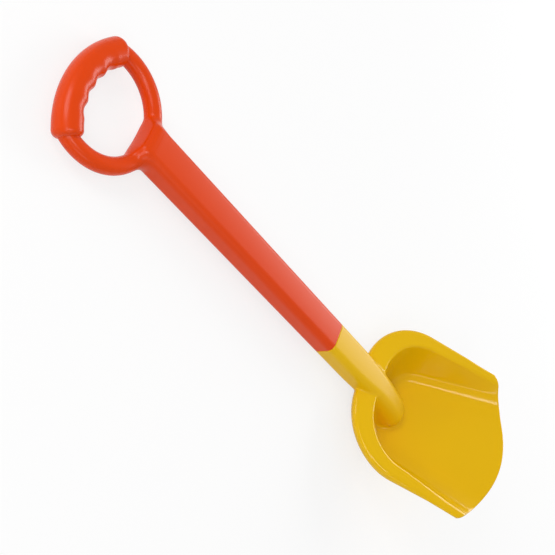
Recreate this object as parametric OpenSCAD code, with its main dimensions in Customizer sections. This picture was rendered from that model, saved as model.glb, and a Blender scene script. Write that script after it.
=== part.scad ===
// Sand shovel made of two plastic mouldings that push together: a handle and a scoop.
// Sizes are in millimetres. The shovel lies on its back on the grip and the scoop's heel.

/* [Shaft] */
// Width of the shaft across its flat sides
shaft_w = 30; // [26:0.5:36]
// Height of the shaft between the tops of its crowned faces
shaft_h = 23.4; // [20:0.2:28]
// Radius of the shaft's long edges
shaft_edge_r = 6; // [4:0.25:8]
// Rise of the crown on the shaft's top and bottom faces
shaft_crown = 0.8; // [0.4:0.1:1.6]
// Length of the handle's shaft from the seam to the flat face inside the ring
shaft_len = 253.4; // [180:0.2:360]
// Wall of the hollow shaft
shaft_wall = 2.6; // [2:0.1:3.4]
// Length left solid at the ring end of the shaft
shaft_end_solid = 30; // [20:1:50]
// Radius on the end of the shaft, seen from the side
shaft_end_r = 8; // [5:0.5:9]
// Radius on the corners of the shaft's end, seen from above
shaft_end_corner_r = 10; // [9:0.5:12]
// Distance by which the shaft's flat end stands out inside the ring
shaft_end_proud = 2; // [0.6:0.1:3]

/* [Ring] */
// Radius of the ring's arms, to the middle of the arm
ring_r = 43.1; // [40:0.1:46]
// Thickness of the round arms
arm_d = 13.4; // [11:0.2:14.6]
// Drop of the ring's middle plane below the shaft's axis
ring_drop = 2.8; // [0.6:0.1:4]
// Radius of the fillet between the shaft's sides and the arms
yoke_r = 10; // [6:0.5:14]
// Thickness of the web that the fillet is made in
yoke_t = 11; // [8:0.25:12]

/* [Grip] */
// Thickness of the grip
grip_d = 22; // [18:0.5:25]
// Length of the grip along its middle, with its rounded ends
grip_len = 92; // [84:1:96]
// Radius of the grip's bend, to its middle
grip_r = 68.6; // [62:0.2:80]
// Distance from the ring's centre to the middle of the grip
grip_reach = 26; // [24:0.5:29]
// Radius on the rim of each end of the grip
grip_end_r = 5; // [3:0.25:7]
// Number of finger hollows
finger_count = 4; // [3:1:5]
// Spacing of the finger hollows along the inside of the grip
finger_pitch = 13.5; // [11:0.25:15]
// Radius of a finger hollow along the grip
finger_r = 11; // [9:0.25:13]
// Depth of a finger hollow on the inside of the grip
finger_depth = 1.6; // [0.8:0.1:2.2]
// Depth of a finger hollow where it runs out on the top and bottom of the grip
finger_fade = 0.3; // [0.1:0.05:0.6]

/* [Scoop floor] */
// Pitch of the scoop's floor above the shaft's axis, in degrees
floor_pitch = 38.6; // [32:0.2:42]
// Distance from the seam to the middle of the scoop's front edge, along the shaft
front_reach = 224.6; // [212:0.5:240]
// Height of the middle of the front edge above the shaft's axis
front_lift = 60.8; // [54:0.5:66]
// Wall of the scoop
scoop_wall = 2.5; // [1.8:0.1:3.2]
// Width between the two front corners
mouth_w = 149.4; // [130:0.2:170]
// Distance by which the front edge bows ahead of its corners
mouth_bow = 33.2; // [24:0.2:42]

/* [Scoop walls] */
// Length of the bowl from the front edge to the back wall, along the floor
bowl_len = 147; // [138:0.5:156]
// Radius of the bowl's back corners
bowl_corner_r = 47; // [40:0.5:50]
// Angle by which each side wall closes in towards the back, in degrees
bowl_taper = 9.7; // [7:0.1:12]
// Height of the rim over the floor at the front corners
rim_front_h = 20.3; // [14:0.1:24]
// Angle between the rim's plane and the floor, in degrees
rim_rise = 15.4; // [12:0.1:18]
// Run of the curved wall from the rim to the floor, at the front
wall_run_front = 41; // [35:1:60]
// Run of the curved wall from the rim to the floor, at the back
wall_run_back = 30; // [25:0.5:34]

/* [Scoop rim] */
// Width of the rim at the front corners
rim_front_w = 1.2; // [1:0.1:3]
// Angle by which each outer edge closes in towards the back, in degrees
rim_taper = 0.5; // [0:0.1:3]
// Length from the front edge to the back of the rim, along the floor
rim_len = 168.5; // [163:0.5:180]
// Radius of the rim's back corners
rim_corner_r = 60; // [54:0.5:66]
// Height of the turned-down edge at the back
skirt_h = 8.5; // [5:0.25:11]
// Height of the turned-down edge at the front corners
skirt_front_h = 2.8; // [2.6:0.1:5]
// Radius on the rim's outer edge
rim_edge_r = 3; // [1:0.1:4]

/* [Scoop tongue] */
// Distance from the seam to where the tongue starts to bend down
tongue_bend = 70; // [55:1:80]
// Radius of the tongue's bend, to its top
tongue_r = 209; // [180:1:260]
// Length along the top from the bend to the centre of the tongue's round tip
tongue_run = 56; // [48:0.5:62]

/* [Push fit] */
// Length of the plug inside the handle
plug_len = 42; // [30:1:60]
// Wall of the hollow plug
plug_wall = 2.2; // [1.8:0.1:3]
// Gap left all round the plug
fit_gap = 0.25; // [0.1:0.05:0.5]
// Distance from the seam to the catch on the plug
catch_from = 26; // [16:1:26]
// Length of the catch along the plug
catch_w = 4; // [2:0.5:6]
// Height of the catch
catch_h = 0.7; // [0.4:0.1:1]
// Depth of the hollow in the scoop, from the seam
core_len = 96; // [40:1:100]

/* [Hidden] */
// Smoothness of round forms and of the wide crown circles
$fn = 64;
crown_fn = 720;
// Overrun of cuts past the face that they open
overrun = 1;

// Crown of the shaft's faces, as a circle through both edges
crown_r = (pow(shaft_w / 2, 2) + pow(shaft_crown, 2)) / (2 * shaft_crown);
crown_y = shaft_h / 2 - crown_r;
// Height of the centres of the end's radii, which meet the crowned faces at a slight angle
shaft_end_y = shaft_h / 2 + shaft_crown - shaft_end_r;
// Centres of the end's corners, which meet the flat sides at a slight angle
shaft_end_flare = 0.3;
shaft_end_corner_y = shaft_w / 2 + shaft_end_flare - shaft_end_corner_r;

// Centres of the ring and of the grip's bend, and the angle of the arms where the two arcs cross
ring_x = shaft_end_proud - shaft_len - (ring_r - arm_d / 2);
grip_x = ring_x + grip_r - grip_reach;
grip_offset = grip_r - grip_reach;
cross_x = (pow(grip_offset, 2) - pow(grip_r, 2) + pow(ring_r, 2)) / (2 * grip_offset);
cross_y = sqrt(pow(ring_r, 2) - pow(cross_x, 2));
arm_angle = atan2(cross_y, cross_x);
grip_angle = (grip_len / 2 - grip_end_r) / grip_r * 180 / PI;
grip_in_r = grip_r - grip_d / 2;
finger_angle = finger_pitch / grip_in_r * 180 / PI;
finger_shift = finger_depth - finger_fade;
// Angle by which the arms run on inside the grip
arm_bury = 8;
// Step between the grip and the button in its end
grip_end_step = 0.2;
grip_mid_x = grip_x - grip_r;

// Centre of the fillet between the shaft's side and the outside of an arm, sunk a little into both
yoke_sink = 0.4;
yoke_y = shaft_w / 2 - yoke_sink + yoke_r;
yoke_x = sqrt(pow(ring_r + arm_d / 2 - yoke_sink + yoke_r, 2) - pow(yoke_y, 2));

// Insets of the socket, the plug and the hollow from the shaft's skin
plug_inset = shaft_wall + fit_gap;
core_inset = plug_inset + plug_wall;

// Stations round the rim: the straight side, the corner and the straight back
side_steps = 9;
corner_steps = 11;
back_steps = 2;
stations = concat(
    [for (i = [0:side_steps - 1]) i / side_steps],
    [for (i = [0:corner_steps - 1]) 1 + i / corner_steps],
    [for (i = [0:back_steps]) 2 + i / back_steps]
);
// Steps from the middle of the floor to the rim, closer together near the rim
rib_steps = 13;
rib_crowd_share = 1.5;
// Part of the floor's length where the ribs start to fan, and where they end
fan_share = 0.64;
fan_end_share = 0.78;
// Powers of the wall's curve at the front and at the back
wall_power_front = 2;
wall_power_back = 3;
// Part of a narrow rim that a wall, a skirt or an edge radius may take
rim_part_share = 0.42;
// Part of an edge radius left at the middle of its round
round_share = 0.293;
// Widths of rim where the turned-down edge starts to grow and where it has its full height
skirt_start_w = 7;
skirt_full_w = 15;

mouth_half = mouth_w / 2;
rim_half = mouth_half + rim_front_w;
front_t = mouth_bow;

function mix(a, b, f) = a + (b - a) * f;
function clip(f) = max(0, min(1, f));

// Outline in the floor's plane: t runs back from the front edge and y to the side
function outline(k, y0, taper, r, back) =
    let (tc = back - r, yc = y0 - tan(taper) * (tc - front_t) - r / cos(taper))
    k <= 1 ? [mix(front_t, tc + r * sin(taper), k), mix(y0, yc + r * cos(taper), k)]
    : k <= 2 ? let (a = (90 - taper) * (2 - k)) [tc + r * cos(a), yc + r * sin(a)]
    : [back, yc * (3 - k)];
function bowl_edge(k) = outline(k, mouth_half, bowl_taper, bowl_corner_r, bowl_len);
function rim_edge(k) = outline(k, rim_half, rim_taper, rim_corner_r, rim_len);
function rim_h(t) = rim_front_h + tan(rim_rise) * (t - front_t);

// Curve of the wall along a rib, and the rib's foot on the middle line of the floor
function run(k) = mix(wall_run_front, wall_run_back, clip(k));
function power(k) = mix(wall_power_front, wall_power_back, clip(k));
function bow(k) = mix(2, 1, clip(k));
function foot(k) = bowl_len * (k <= 1 ? fan_share * k : mix(fan_share, fan_end_share, (k - 1) / 2));
function rib_point(k, v, edge, height, more) =
    let (f = foot(k), far = (1 - v) * norm([edge.x - f, edge.y]))
    [f + (edge.x - f) * pow(v, bow(k)), edge.y * v,
     height * pow(clip(1 - far / (run(k) + more)), power(k)) - more];
function rib_share(i) = 1 - pow(1 - i / rib_steps, rib_crowd_share);

// Closed section of the scoop at one station: up the inside, over the rim and back below
function section(k) =
    let (
        inner = bowl_edge(k),
        outer = rim_edge(k),
        w = norm(outer - inner),
        d = (outer - inner) / w,
        part = rim_part_share * w,
        thick = min(scoop_wall, part),
        r = min(rim_edge_r, part),
        drop = mix(skirt_front_h, skirt_h, clip((w - skirt_start_w) / (skirt_full_w - skirt_start_w))),
        top = rim_h(outer.x),
        under = inner + d * thick,
        lip = outer - d * thick,
        a = outer - d * r,
        b = outer - d * r * round_share
    )
    concat(
        [for (i = [0:rib_steps]) rib_point(k, rib_share(i), inner, rim_h(inner.x), 0)],
        [
            [a.x, a.y, rim_h(a.x)],
            [b.x, b.y, top - r * round_share],
            [outer.x, outer.y, top - r],
            [outer.x, outer.y, top - drop],
            [lip.x, lip.y, top - drop],
            [lip.x, lip.y, top - scoop_wall]
        ],
        [for (i = [rib_steps:-1:0]) rib_point(k, rib_share(i), under, rim_h(under.x), scoop_wall)]
    );
ring_n = 2 * rib_steps + 8;
last = len(stations) - 1;

// From the floor's plane to the shaft's axes, seen from the side
function side_view(t, n) = [
    front_reach - t * cos(floor_pitch) - n * sin(floor_pitch),
    front_lift - t * sin(floor_pitch) + n * cos(floor_pitch)
];
function placed(p, s) = let (q = side_view(p.x, p.z)) [q.x, s * p.y, q.y];

// Lowest point of the scoop's heel when the shaft is tilted, seen from the side
scoop_side = [for (k = stations) for (p = section(k)) side_view(p.x, p.z)];
function height(p, tilt) = p.x * sin(tilt) + p.y * cos(tilt);
function heel(tilt) =
    let (low = min([for (p = scoop_side) height(p, tilt)]))
    [for (p = scoop_side) if (height(p, tilt) == low) p][0];
// Tilt that lets the grip and the heel touch the ground together
function tilt_for(p) =
    let (a = p.x - grip_mid_x, b = p.y + ring_drop)
    asin(-grip_d / 2 / norm([a, b])) - atan2(b, a);
function settle(n, tilt) = n == 0 ? tilt : settle(n - 1, tilt_for(heel(tilt)));
settle_steps = 8;
rest_tilt = settle(settle_steps, 0);
function reach(p) = p.x * cos(rest_tilt) - p.y * sin(rest_tilt);
ground = height(heel(rest_tilt), rest_tilt);
back_end = reach([grip_mid_x, -ring_drop]) - grip_d / 2;
front_end = reach(side_view(0, -scoop_wall));

// Middle of the shell, where the tongue's foot is buried
mid_wall = scoop_wall / 2;
mid_run = wall_run_back + mid_wall;
wall_steps = 10;
function back_wall(f) =
    side_view(bowl_len + mid_wall - f * mid_run, rim_h(bowl_len) * pow(1 - f, wall_power_back) - mid_wall);
tongue_deep = bowl_len;
// Bend of the tongue's axis, and the middle of its round tip
tongue_axis_r = tongue_r - shaft_h / 2;
tongue_sweep = tongue_run / tongue_r * 180 / PI;
tip_x = tongue_bend + tongue_axis_r * sin(tongue_sweep);
tip_z = tongue_axis_r * (cos(tongue_sweep) - 1);
// Step from the tongue to its round tip and to its web
tip_step = 0.15;

// Holder for both pieces, lying on the ground with the origin under the middle of the box
module resting() {
    translate([-(back_end + front_end) / 2, 0, -ground])
        rotate([0, -rest_tilt, 0])
            children();
}

// Profile drawn across the shaft and drawn out along it
module along_shaft(from, length) {
    translate([from, 0, 0])
        rotate([90, 0, 90])
            linear_extrude(height = length)
                children();
}

// Profile seen from the side and drawn out across the shaft
module across_shaft(width) {
    rotate([90, 0, 0])
        linear_extrude(height = width, center = true)
            children();
}

// Rectangle with round corners
module rounded(w, h, r) {
    square([w, h - 2 * r], center = true);
    square([w - 2 * r, h], center = true);
    for (x = [-1, 1], y = [-1, 1])
        translate([x * (w / 2 - r), y * (h / 2 - r)])
            circle(r);
}

// Section of the shaft with flat sides and crowned faces, moved in by an inset
module shaft_section(inset) {
    intersection() {
        rounded(shaft_w - 2 * inset, shaft_h - 2 * inset, max(shaft_edge_r - inset, fit_gap));
        translate([0, crown_y])
            circle(crown_r - inset, $fn = crown_fn);
        translate([0, -crown_y])
            circle(crown_r - inset, $fn = crown_fn);
    }
}

// Outside of the handle's shaft, rounded at its ring end
module shaft_blank() {
    intersection() {
        along_shaft(-shaft_len, shaft_len)
            shaft_section(0);
        across_shaft(shaft_w + 2 * overrun) {
            translate([shaft_end_r - shaft_len, -shaft_h])
                square([shaft_len, 2 * shaft_h]);
            translate([-shaft_len, -shaft_end_y])
                square([2 * shaft_end_r, 2 * shaft_end_y]);
            for (side = [-1, 1])
                translate([shaft_end_r - shaft_len, side * shaft_end_y])
                    circle(shaft_end_r);
        }
        linear_extrude(height = 2 * shaft_h, center = true) {
            translate([shaft_end_corner_r - shaft_len, -shaft_w])
                square([shaft_len, 2 * shaft_w]);
            translate([-shaft_len, -shaft_end_corner_y])
                square([2 * shaft_end_corner_r, 2 * shaft_end_corner_y]);
            for (side = [-1, 1])
                translate([shaft_end_corner_r - shaft_len, side * shaft_end_corner_y])
                    circle(shaft_end_corner_r);
        }
    }
}

// Round arms from the shaft to the ends of the grip
module arms() {
    rotate([0, 0, -arm_angle - arm_bury])
        rotate_extrude(angle = 2 * (arm_angle + arm_bury))
            translate([ring_r, 0])
                circle(d = arm_d);
}

// Web with a fillet on each side of the shaft
module yoke() {
    linear_extrude(height = yoke_t, center = true)
        for (side = [0, 1])
            mirror([0, side])
                difference() {
                    polygon([[0, 0], [yoke_x, yoke_y], [yoke_x, 0]]);
                    translate([yoke_x, yoke_y])
                        circle(yoke_r);
                    circle(ring_r);
                }
}

// End of the grip: a button with a rounded rim, sunk into the grip
module grip_end() {
    flat = grip_d / 2 - grip_end_step - grip_end_r;
    translate([0, 0, -grip_end_r])
        rotate_extrude() {
            square([flat, 2 * grip_end_r]);
            square([flat + grip_end_r, grip_end_r]);
            translate([flat, grip_end_r])
                intersection() {
                    circle(grip_end_r);
                    square(grip_end_r);
                }
        }
}

// Thick bent grip with finger hollows along its inside
module grip() {
    difference() {
        union() {
            rotate([0, 0, 180 - grip_angle])
                rotate_extrude(angle = 2 * grip_angle)
                    translate([grip_r, 0])
                        circle(d = grip_d);
            for (side = [-1, 1])
                rotate([0, 0, 180 + side * grip_angle])
                    translate([grip_r, 0, 0])
                        rotate([-90 * side, 0, 0])
                            grip_end();
        }
        for (i = [0:finger_count - 1])
            rotate([0, 0, 180 + (i - (finger_count - 1) / 2) * finger_angle])
                translate([grip_r + finger_shift, 0, 0])
                    rotate([90, 0, 0])
                        rotate_extrude()
                            translate([grip_d / 2 - finger_fade + finger_r, 0])
                                circle(finger_r);
    }
}

// Hollow of the handle's shaft, with the groove that holds the catch
module socket() {
    along_shaft(shaft_end_solid - shaft_len, shaft_len - shaft_end_solid + overrun)
        shaft_section(shaft_wall);
    along_shaft(-catch_from - catch_w - fit_gap, catch_w + 2 * fit_gap)
        shaft_section(shaft_wall - catch_h);
}

// Handle: hollow shaft, ring and grip in one moulding
module handle() {
    color([0.87, 0.27, 0.02])
        resting()
            difference() {
                union() {
                    shaft_blank();
                    translate([ring_x, 0, -ring_drop]) {
                        arms();
                        yoke();
                    }
                    translate([grip_x, 0, -ring_drop])
                        grip();
                }
                socket();
            }
}

// Bowl and rim of the scoop, lofted through the sections on both sides of the middle
module bowl() {
    half = [for (k = stations) each section(k)];
    count = len(half);
    points = concat([for (p = half) placed(p, 1)], [for (p = half) placed(p, -1)]);
    // Points on the middle line belong to both sides
    function at(s, j, i) =
        j * ring_n + i + ((s == 0 || i == 0 || i == ring_n - 1 || j == last) ? 0 : count);
    function turn(s, f) = s == 0 ? f : [f[2], f[1], f[0]];
    skin = [
        for (s = [0, 1], j = [0:last - 1], i = [1:ring_n - 3])
            each [
                turn(s, [at(s, j, i), at(s, j + 1, i), at(s, j + 1, i + 1)]),
                turn(s, [at(s, j, i), at(s, j + 1, i + 1), at(s, j, i + 1)])
            ]
    ];
    // Strips across the middle of the floor, above and below
    strips = [
        for (i = [1, ring_n - 2], j = [1:last - 1])
            let (s = i == 1 ? 1 : 0)
            each [
                [at(s, j, i), at(s, j + 1, i), at(1 - s, j + 1, i)],
                [at(s, j, i), at(1 - s, j + 1, i), at(1 - s, j, i)]
            ]
    ];
    // Triangles at the tip of the front edge, above and below
    tip = concat(
        [for (s = [0, 1]) turn(s, [at(0, 0, 0), at(s, 1, 1), at(s, 0, 1)])],
        [[at(0, 0, 0), at(1, 1, 1), at(0, 1, 1)]],
        [for (s = [0, 1]) turn(s, [at(s, 0, ring_n - 2), at(s, 1, ring_n - 2), at(0, 0, ring_n - 1)])],
        [[at(0, 1, ring_n - 2), at(1, 1, ring_n - 2), at(0, 0, ring_n - 1)]]
    );
    front = [
        for (s = [0, 1], i = [0:ring_n / 2 - 2])
            each [
                turn(s, [at(s, 0, i), at(s, 0, i + 1), at(s, 0, ring_n - 2 - i)]),
                turn(s, [at(s, 0, i), at(s, 0, ring_n - 2 - i), at(s, 0, ring_n - 1 - i)])
            ]
    ];
    closed = [for (f = concat(skin, strips, tip, front)) if (f[0] != f[1] && f[1] != f[2] && f[2] != f[0]) f];
    polyhedron(points = points, faces = closed, convexity = 10);
}

// Shaft profile bent down along the tongue, with a round tip sunk into its end
module tongue_bar() {
    translate([tongue_bend, 0, -tongue_axis_r]) {
        rotate([-90, 0, 0])
            rotate([0, 0, -90])
                rotate_extrude(angle = tongue_sweep, $fn = crown_fn)
                    translate([tongue_axis_r, 0])
                        rotate(-90)
                            shaft_section(0);
        rotate([0, tongue_sweep, 0])
            translate([0, 0, tongue_axis_r])
                rotate([0, 0, 180])
                    rotate_extrude()
                        intersection() {
                            shaft_section(tip_step);
                            translate([0, -shaft_h])
                                square([shaft_w, 2 * shaft_h]);
                        }
    }
}

// Web that carries the tongue down to the floor, in front of the back wall
module tongue_web() {
    web_w = shaft_w - 4 * tip_step;
    intersection() {
        linear_extrude(height = 2 * tongue_deep, center = true) {
            translate([0, -web_w / 2])
                square([tip_x, web_w]);
            translate([tip_x, 0])
                circle(d = web_w);
        }
        across_shaft(2 * shaft_w)
            intersection() {
                polygon([
                    [tongue_bend, 0],
                    [tip_x, tip_z],
                    [front_reach, tip_z],
                    [front_reach, -tongue_deep],
                    [tongue_bend, -tongue_deep]
                ]);
                polygon(concat(
                    [[front_reach, -tongue_deep], [front_reach, shaft_h], [back_wall(0).x, shaft_h]],
                    [for (i = [0:wall_steps]) back_wall(i / wall_steps)],
                    [[back_wall(1).x, -tongue_deep]]
                ));
            }
    }
}

// Tongue that carries the shaft over the back wall and runs out on the floor
module tongue() {
    intersection() {
        across_shaft(2 * shaft_w)
            polygon([
                side_view(0, -mid_wall),
                side_view(2 * rim_len, -mid_wall),
                [side_view(2 * rim_len, -mid_wall).x, shaft_h],
                [side_view(0, -mid_wall).x, shaft_h]
            ]);
        union() {
            tongue_bar();
            tongue_web();
        }
    }
}

// Plug that fills the mouth of the handle, with its catch
module plug() {
    along_shaft(-plug_len, plug_len)
        shaft_section(plug_inset);
    along_shaft(-catch_from - catch_w, catch_w)
        shaft_section(plug_inset - catch_h);
}

// Scoop: bowl, rim, tongue, hollow shaft end and plug in one moulding
module scoop() {
    color([0.89, 0.69, 0.02])
        resting()
            difference() {
                union() {
                    bowl();
                    along_shaft(0, tongue_bend)
                        shaft_section(0);
                    tongue();
                    plug();
                }
                along_shaft(-plug_len - overrun, plug_len + core_len + overrun)
                    shaft_section(core_inset);
            }
}

handle();
scoop();
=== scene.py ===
# %% [markdown]
# # A sand shovel made of two plastic mouldings
# The shovel has an orange handle and a yellow scoop, pushed together at a seam on the shaft.
# The solid model gives every size. Here both mouldings are made again with the soft edges,
# fillets and finishes that moulded plastic has, in the same place and at the same size.

# %% Load the solid model
import math
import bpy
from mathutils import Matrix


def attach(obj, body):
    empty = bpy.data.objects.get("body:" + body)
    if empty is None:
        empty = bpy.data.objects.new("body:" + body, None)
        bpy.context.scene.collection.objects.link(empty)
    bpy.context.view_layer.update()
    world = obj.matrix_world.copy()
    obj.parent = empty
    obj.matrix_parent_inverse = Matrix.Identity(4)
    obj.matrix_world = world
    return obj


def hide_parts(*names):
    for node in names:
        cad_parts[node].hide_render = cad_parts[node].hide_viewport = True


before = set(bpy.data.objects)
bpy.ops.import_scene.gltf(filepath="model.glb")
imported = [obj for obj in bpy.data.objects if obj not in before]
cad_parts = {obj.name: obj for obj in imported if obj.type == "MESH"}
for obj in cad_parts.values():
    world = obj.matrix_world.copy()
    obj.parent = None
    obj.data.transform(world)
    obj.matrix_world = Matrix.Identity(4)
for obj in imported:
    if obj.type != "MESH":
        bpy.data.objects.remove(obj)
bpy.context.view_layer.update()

from types import SimpleNamespace

import bpy
import numpy as np
from mathutils import Matrix, Vector
from mathutils.bvhtree import BVHTree

print("solid model:", sorted(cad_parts))

# %% [markdown]
# ## One set of axes for drawing
# A shovel is easiest to draw along its shaft: x runs from the ring to the scoop and is 0 at
# the seam, y runs across and z up, in millimetres. At rest the shaft is tilted a little, so
# that the grip and the heel of the scoop both touch the ground. The objects could be turned
# to lie like that, but a finished piece stays unturned, so the turn goes into its points.
# One function does it, with the change to metres, and every point goes through it.

# %% From the shaft's axes to the resting place
REST_TILT = math.radians(0.893707)
REST_SHIFT, REST_LIFT = 49.752, 18.7142
MM_PER_M = 1000


def at_rest(points):
    p = np.asarray(points, float)
    c, s = math.cos(REST_TILT), math.sin(REST_TILT)
    x = p[..., 0] * c - p[..., 2] * s + REST_SHIFT
    z = p[..., 0] * s + p[..., 2] * c + REST_LIFT
    return np.stack([x, p[..., 1], z], -1) / MM_PER_M


print("seam at", at_rest([0, 0, 0]).round(4))

# %% [markdown]
# ## Smooth forms from a distance field
# Where round arms run into a shaft, a moulding has a soft fillet. A distance field makes one
# easily: each form is a function that gives the distance to its surface, and a smooth
# minimum of two such functions rounds the corner between them. A voxel remesh of joined
# shapes could do something like it, but it rounds all edges alike.

# %% Helpers for blending
def smooth_min(a, b, k):
    h = np.clip(k - np.abs(a - b), 0, None)
    return np.minimum(a, b) - h * h / (4 * k)


def smooth_max(a, b, k):
    return -smooth_min(-a, -b, k)


def smooth_step(f):
    f = np.clip(f, 0, 1)
    return f * f * (3 - 2 * f)


def mix(a, b, f):
    return a + (b - a) * f


print("two forms 1 mm away, blended over 4 mm:", smooth_min(1.0, 1.0, 4.0), "mm away")

# %% [markdown]
# ## From a distance field to a mesh
# A field has no faces yet. The finder below lays a grid over it and puts one point in each
# cell that the surface crosses, in the middle of the crossings. Each crossed edge of the
# grid then gives one face of four points. At the end every point is pulled onto the surface
# along its slope, so that the faces are even and follow the form closely. The grid need not
# be even: it is fine where the form turns quickly and long on the straight shaft.

# %% Pull points onto a surface
PROBE, LEAST_SLOPE, LONGEST_PULL = 0.05, 0.25, 0.6


def pull_onto(field, p, pulls):
    steps = PROBE * np.eye(3)
    for _ in range(pulls):
        slope = np.stack([(field(p + s) - field(p - s)) / (2 * PROBE) for s in steps], -1)
        steep = np.maximum((slope ** 2).sum(-1, keepdims=True), LEAST_SLOPE)
        p = p - np.clip(field(p)[:, None] * slope / steep, -LONGEST_PULL, LONGEST_PULL)
    return p


def small_ball(p):
    return np.linalg.norm(p, axis=-1) - 5


print("pulled onto a ball of radius 5:", pull_onto(small_ball, np.array([[5.4, 0, 0]]), 1).round(3))

# %% The surface finder
def find_surface(field, xs, ys, zs, pulls=3):
    grid = (xs, ys, zs)
    d = field(np.stack(np.meshgrid(xs, ys, zs, indexing="ij"), -1))
    cells = np.array(d.shape) - 1
    total, count, corners = np.zeros((cells.prod(), 3)), np.zeros(cells.prod()), []
    for a in range(3):
        # Edges along this axis that the surface crosses, and where it does
        b, c = (a + 1) % 3, (a + 2) % 3
        low = np.moveaxis(np.moveaxis(d, a, 0)[:-1], 0, a)
        high = np.moveaxis(np.moveaxis(d, a, 0)[1:], 0, a)
        edge = np.argwhere((low < 0) != (high < 0))
        near, far = low[tuple(edge.T)], high[tuple(edge.T)]
        point = np.stack([grid[i][edge[:, i]] for i in range(3)], -1)
        length = grid[a][edge[:, a] + 1] - grid[a][edge[:, a]]
        point[:, a] += near / (near - far) * length
        # The four cells round an edge share its crossing and are the corners of its face
        quad = []
        for step_b, step_c in ((1, 1), (0, 1), (0, 0), (1, 0)):
            cell = edge.copy()
            cell[:, b] -= step_b
            cell[:, c] -= step_c
            flat = np.ravel_multi_index(cell.T, cells)
            np.add.at(total, flat, point)
            np.add.at(count, flat, 1)
            quad.append(flat)
        quad = np.stack(quad, -1)
        corners.append(np.where((near < 0)[:, None], quad, quad[:, ::-1]))
    used = np.flatnonzero(count)
    p = total[used] / count[used, None]
    number = np.zeros(len(count), int)
    number[used] = np.arange(len(used))
    return pull_onto(field, p, pulls), number[np.concatenate(corners)]


print("surface finder ready")

# %% [markdown]
# ## The shaft's profile
# The shaft is a rounded rectangle with flat sides and slightly crowned top and bottom faces.
# It could be drawn as a curve and extruded. As a distance it can also be blended with other
# forms. The handle, the scoop's end of the shaft and the tongue all use this one profile, so
# they stay flush at the seam.

# %% Profile of the shaft
SHAFT_W, SHAFT_H, SHAFT_CROWN, SHAFT_EDGE_R = 30.0, 23.4, 0.8, 6.0


def profile(across, up, edge_r=SHAFT_EDGE_R, closed_below=True):
    half_h = SHAFT_H / 2 - SHAFT_CROWN * np.clip(across / (SHAFT_W / 2), -1, 1) ** 2
    u = np.abs(across) - (SHAFT_W / 2 - edge_r)
    v = (np.abs(up) if closed_below else up) - (half_h - edge_r)
    outside = np.hypot(np.maximum(u, 0), np.maximum(v, 0))
    return outside + np.minimum(np.maximum(u, v), 0) - edge_r


print("profile", SHAFT_W, "by", SHAFT_H, "mm")

# %% [markdown]
# ## The handle's shaft and ring arms
# The arms are part of a ring that springs from the sides of the shaft. The shaft's end
# stands a little proud inside the ring, with its corners rounded. Both are distance fields
# joined by a smooth minimum, which gives the fillet in the fork. The fillet is full outside
# the ring. It is small inside, where the shaft's end stands out clearly, and underneath,
# where a full one would bulge below the shaft.

# %% Distance to the shaft and arms
SHAFT_LEN, SHAFT_END_ROUND, SEAM_ROUND, SEAM_GAP = 253.4, 6.5, 0.7, 0.08
RING_X, RING_R, RING_DROP, ARM_R, ARM_END = -287.8, 43.1, 2.8, 6.7, math.radians(114.3)
FORK_ROUND, FORK_LEAST = 9.0, 2.0
FORK_BELOW, FORK_RISE, FORK_INSIDE, FORK_RUN = -12.5, 8, -258.5, 5


def handle_field(p):
    x, y, z = p[..., 0], p[..., 1], p[..., 2]
    shaft = smooth_max(profile(y, z), -SHAFT_LEN - x, SHAFT_END_ROUND)
    shaft = smooth_max(shaft, x + SEAM_GAP, SEAM_ROUND)
    angle = np.clip(np.arctan2(np.abs(y), x - RING_X), 0, ARM_END)
    arms = np.sqrt((x - RING_X - RING_R * np.cos(angle)) ** 2
                   + (np.abs(y) - RING_R * np.sin(angle)) ** 2 + (z + RING_DROP) ** 2) - ARM_R
    full = smooth_step((z - FORK_BELOW) / FORK_RISE) * smooth_step((x - FORK_INSIDE) / FORK_RUN)
    return smooth_min(shaft, arms, mix(FORK_LEAST, FORK_ROUND, full))


print("at the middle of the shaft:", handle_field(np.array([-120.0, 0, 0])), "mm")

# %% Mesh of the shaft and arms
RING_PART, SHAFT_PART, SEAM_PART = (-316, -222), (-222, -6), (-6, 0.6)
RING_ACROSS, RING_UP = (-52, 52.01), (-13.2, 13.3)
FORK_STEP, SHAFT_STEP, SEAM_STEP = 0.8, 4.5, 0.22
GLOSS_END, GLOSS_BLEND = -243.0, 4
handle_x = np.concatenate([np.arange(*RING_PART, FORK_STEP), np.arange(*SHAFT_PART, SHAFT_STEP),
                           np.arange(*SEAM_PART, SEAM_STEP)])
handle_points, handle_faces = find_surface(
    handle_field, handle_x, np.arange(*RING_ACROSS, FORK_STEP), np.arange(*RING_UP, FORK_STEP))
handle_satin = smooth_step((handle_points[:, 0] - GLOSS_END) / GLOSS_BLEND + 0.5)
print("shaft and arms:", len(handle_points), "points")

# %% [markdown]
# ## Node trees in a script
# Geometry Nodes and materials are both trees of nodes. In the editor each node is added, its
# fields are filled in and its sockets are linked. This small helper does the three in one
# call: a value goes into the field, and an output of another node becomes a link.

# %% A helper for node trees
class Tree:
    def __init__(self, tree):
        self.tree = tree

    def node(self, kind, inputs=(), **settings):
        n = self.tree.nodes.new(kind)
        for key, value in settings.items():
            setattr(n, key, value)
        for key, value in dict(inputs).items():
            if isinstance(value, bpy.types.NodeSocket):
                self.tree.links.new(value, n.inputs[key])
            else:
                n.inputs[key].default_value = value
        return n

    def math(self, operation, a, b=0.0):
        return self.node("ShaderNodeMath", {0: a, 1: b}, operation=operation).outputs[0]

    def vector(self, operation, inputs):
        return self.node("ShaderNodeVectorMath", inputs, operation=operation).outputs


print("node helper ready")

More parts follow.
